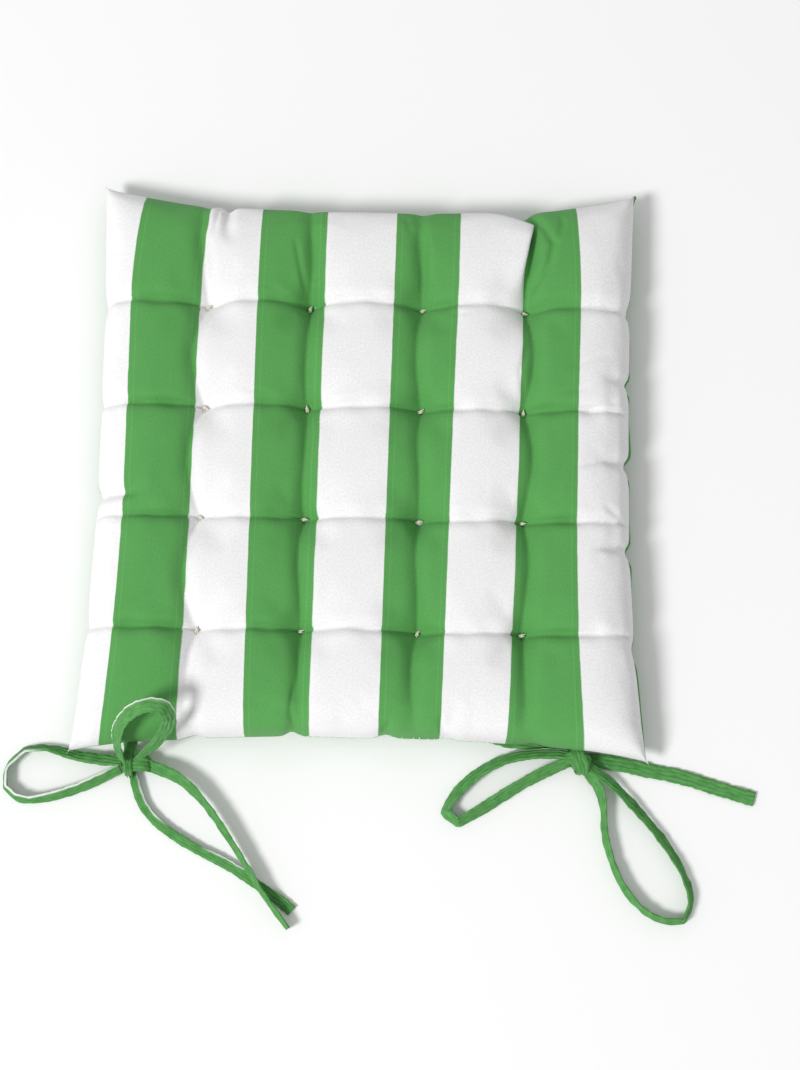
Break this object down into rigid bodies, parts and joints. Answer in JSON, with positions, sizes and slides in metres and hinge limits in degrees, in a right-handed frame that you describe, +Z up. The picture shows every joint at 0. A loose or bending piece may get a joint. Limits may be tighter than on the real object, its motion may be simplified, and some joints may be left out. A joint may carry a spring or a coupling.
{
  "type": "chair seat pad",
  "caption": "Square tufted seat pad in striped cotton with a plain back, filled with fibre and tied to a chair by fabric tapes that are shown tied in bows.",
  "frame": {"origin": "the middle of the pad's footprint, on the surface that it lies on", "axes": "+X to the right, +Y to the front edge of the seat, away from the ties, +Z up"},
  "size_m": [0.5129, 0.5216, 0.0746],
  "materials": {
    "striped_cloth": "woven cotton, white with wide green stripes",
    "green_cloth": "plain green woven cotton",
    "fibre": "loose white polyester fibre",
    "white_thread": "spun polyester thread",
    "green_thread": "spun polyester thread",
    "tuft_thread": "pale thick cotton thread",
    "tie_cloth": "folded green cotton tape with a pale raw edge"
  },
  "bodies": {
    "pad": {"top_panel": "striped_cloth", "bottom_panel": "green_cloth", "fibre_filling": "fibre", "seam_thread": "white_thread", "closing_stitches": "white_thread", "left_tie_stem": "tie_cloth", "right_tie_stem": "tie_cloth", "left_tie_stitching": "green_thread", "right_tie_stitching": "green_thread", "tuft_row1_column1": "tuft_thread", "tuft_row1_column2": "tuft_thread", "tuft_row1_column3": "tuft_thread", "tuft_row1_column4": "tuft_thread", "tuft_row2_column1": "tuft_thread", "tuft_row2_column2": "tuft_thread", "tuft_row2_column3": "tuft_thread", "tuft_row2_column4": "tuft_thread", "tuft_row3_column1": "tuft_thread", "tuft_row3_column2": "tuft_thread", "tuft_row3_column3": "tuft_thread", "tuft_row3_column4": "tuft_thread", "tuft_row4_column1": "tuft_thread", "tuft_row4_column2": "tuft_thread", "tuft_row4_column3": "tuft_thread", "tuft_row4_column4": "tuft_thread"},
    "left_bow": {"left_knot": "tie_cloth", "left_outer_loop": "tie_cloth", "left_standing_loop": "tie_cloth"},
    "left_tails": {"left_over_tail": "tie_cloth", "left_under_tail": "tie_cloth"},
    "right_bow": {"right_knot": "tie_cloth", "right_inner_loop": "tie_cloth", "right_lower_loop": "tie_cloth", "right_short_tail": "tie_cloth"},
    "right_tail": {"right_long_tail": "tie_cloth"}
  },
  "joints": [
    {"name": "left_bow_swing", "type": "hinge", "parent": "pad", "child": "left_bow", "pos_m": [-0.154, -0.208, 0.008], "axis": [0, 0, 1], "range_deg": [-5, 15]},
    {"name": "left_tails_swing", "type": "hinge", "parent": "left_bow", "child": "left_tails", "pos_m": [-0.154, -0.208, 0.008], "axis": [0, 0, 1], "range_deg": [-15, 15]},
    {"name": "right_bow_swing", "type": "hinge", "parent": "pad", "child": "right_bow", "pos_m": [0.15, -0.201, 0.008], "axis": [0, 0, 1], "range_deg": [-5, 15]},
    {"name": "right_tail_swing", "type": "hinge", "parent": "right_bow", "child": "right_tail", "pos_m": [0.15, -0.201, 0.008], "axis": [0, 0, 1], "range_deg": [-20, 8]}
  ]
}
